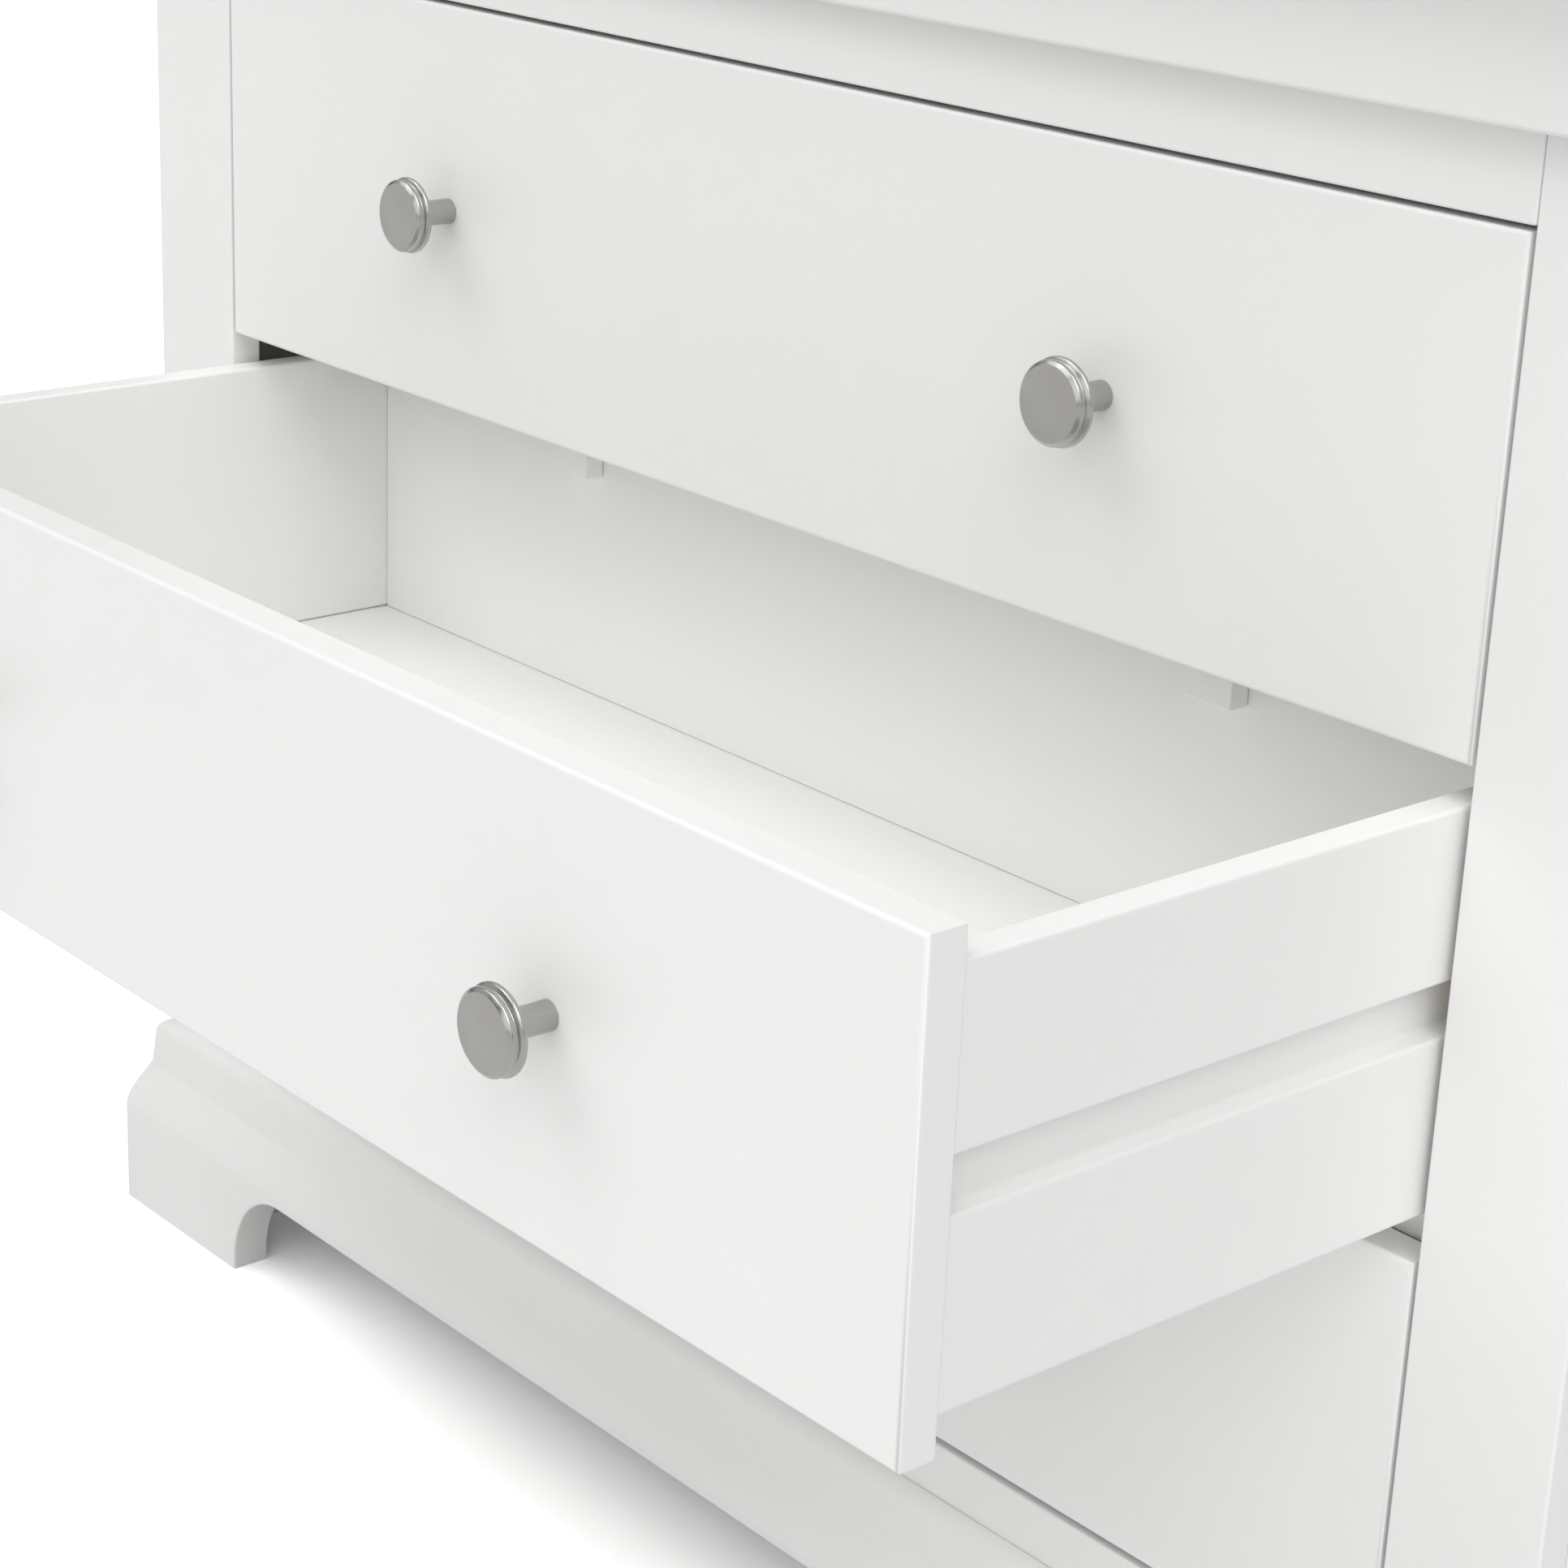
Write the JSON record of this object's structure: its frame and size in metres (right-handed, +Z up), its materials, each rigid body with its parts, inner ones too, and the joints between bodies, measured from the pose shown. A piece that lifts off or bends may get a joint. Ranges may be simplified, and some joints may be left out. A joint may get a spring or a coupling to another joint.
{
  "type": "chest of drawers",
  "caption": "White painted chest of drawers with flush inset fronts on wooden runners, round satin nickel knobs, cove cornice and a moulded plinth on bracket feet.",
  "frame": {"origin": "on the floor, under the centre of the whole object's box with the middle drawer standing open", "axes": "+X along the front to the right as seen from the front, +Y to the back, +Z up; drawers open along -Y"},
  "size_m": [0.954, 0.6486, 0.7717],
  "materials": {
    "white_paint": "satin white spray paint over board",
    "inside_paint": "flatter white paint inside",
    "bare_wood": "planed bare softwood",
    "satin_nickel": "satin nickel plate",
    "screw_steel": "zinc plated steel"
  },
  "bodies": {
    "carcass": {"top_panel": "white_paint", "cornice_front": "white_paint", "cornice_left": "white_paint", "cornice_right": "white_paint", "side_panel_left": "white_paint", "side_panel_right": "white_paint", "stile_left": "white_paint", "stile_right": "white_paint", "top_rail": "white_paint", "bottom_rail": "white_paint", "plinth_front": "white_paint", "plinth_left": "white_paint", "plinth_right": "white_paint", "plinth_back": "white_paint", "base_panel": "inside_paint", "back_panel": "inside_paint", "corner_block_left": "inside_paint", "corner_block_right": "inside_paint", "cross_rail_bottom": "inside_paint", "cross_rail_middle": "inside_paint", "cross_rail_top": "inside_paint", "runner_bottom_left": "bare_wood", "runner_bottom_right": "bare_wood", "runner_middle_left": "bare_wood", "runner_middle_right": "bare_wood", "runner_top_left": "bare_wood", "runner_top_right": "bare_wood"},
    "drawer_bottom": {"drawer_front_bottom": "white_paint", "drawer_side_bottom_left": "white_paint", "drawer_side_bottom_right": "white_paint", "drawer_back_bottom": "inside_paint", "drawer_bottom_bottom": "inside_paint", "knob_bottom_left": "satin_nickel", "knob_screw_bottom_left": "screw_steel", "stop_block_bottom_left": "inside_paint", "knob_bottom_right": "satin_nickel", "knob_screw_bottom_right": "screw_steel", "stop_block_bottom_right": "inside_paint"},
    "drawer_middle": {"drawer_front_middle": "white_paint", "drawer_side_middle_left": "white_paint", "drawer_side_middle_right": "white_paint", "drawer_back_middle": "inside_paint", "drawer_bottom_middle": "inside_paint", "knob_middle_left": "satin_nickel", "knob_screw_middle_left": "screw_steel", "stop_block_middle_left": "inside_paint", "knob_middle_right": "satin_nickel", "knob_screw_middle_right": "screw_steel", "stop_block_middle_right": "inside_paint"},
    "drawer_top": {"drawer_front_top": "white_paint", "drawer_side_top_left": "white_paint", "drawer_side_top_right": "white_paint", "drawer_back_top": "inside_paint", "drawer_bottom_top": "inside_paint", "knob_top_left": "satin_nickel", "knob_screw_top_left": "screw_steel", "stop_block_top_left": "inside_paint", "knob_top_right": "satin_nickel", "knob_screw_top_right": "screw_steel", "stop_block_top_right": "inside_paint"}
  },
  "joints": [
    {"name": "drawer_bottom_slide", "type": "slide", "parent": "carcass", "child": "drawer_bottom", "axis": [0, -1, 0], "range_m": [0, 0.265]},
    {"name": "drawer_middle_slide", "type": "slide", "parent": "carcass", "child": "drawer_middle", "axis": [0, -1, 0], "range_m": [-0.2415, 0.0235]},
    {"name": "drawer_top_slide", "type": "slide", "parent": "carcass", "child": "drawer_top", "axis": [0, -1, 0], "range_m": [0, 0.265]}
  ]
}
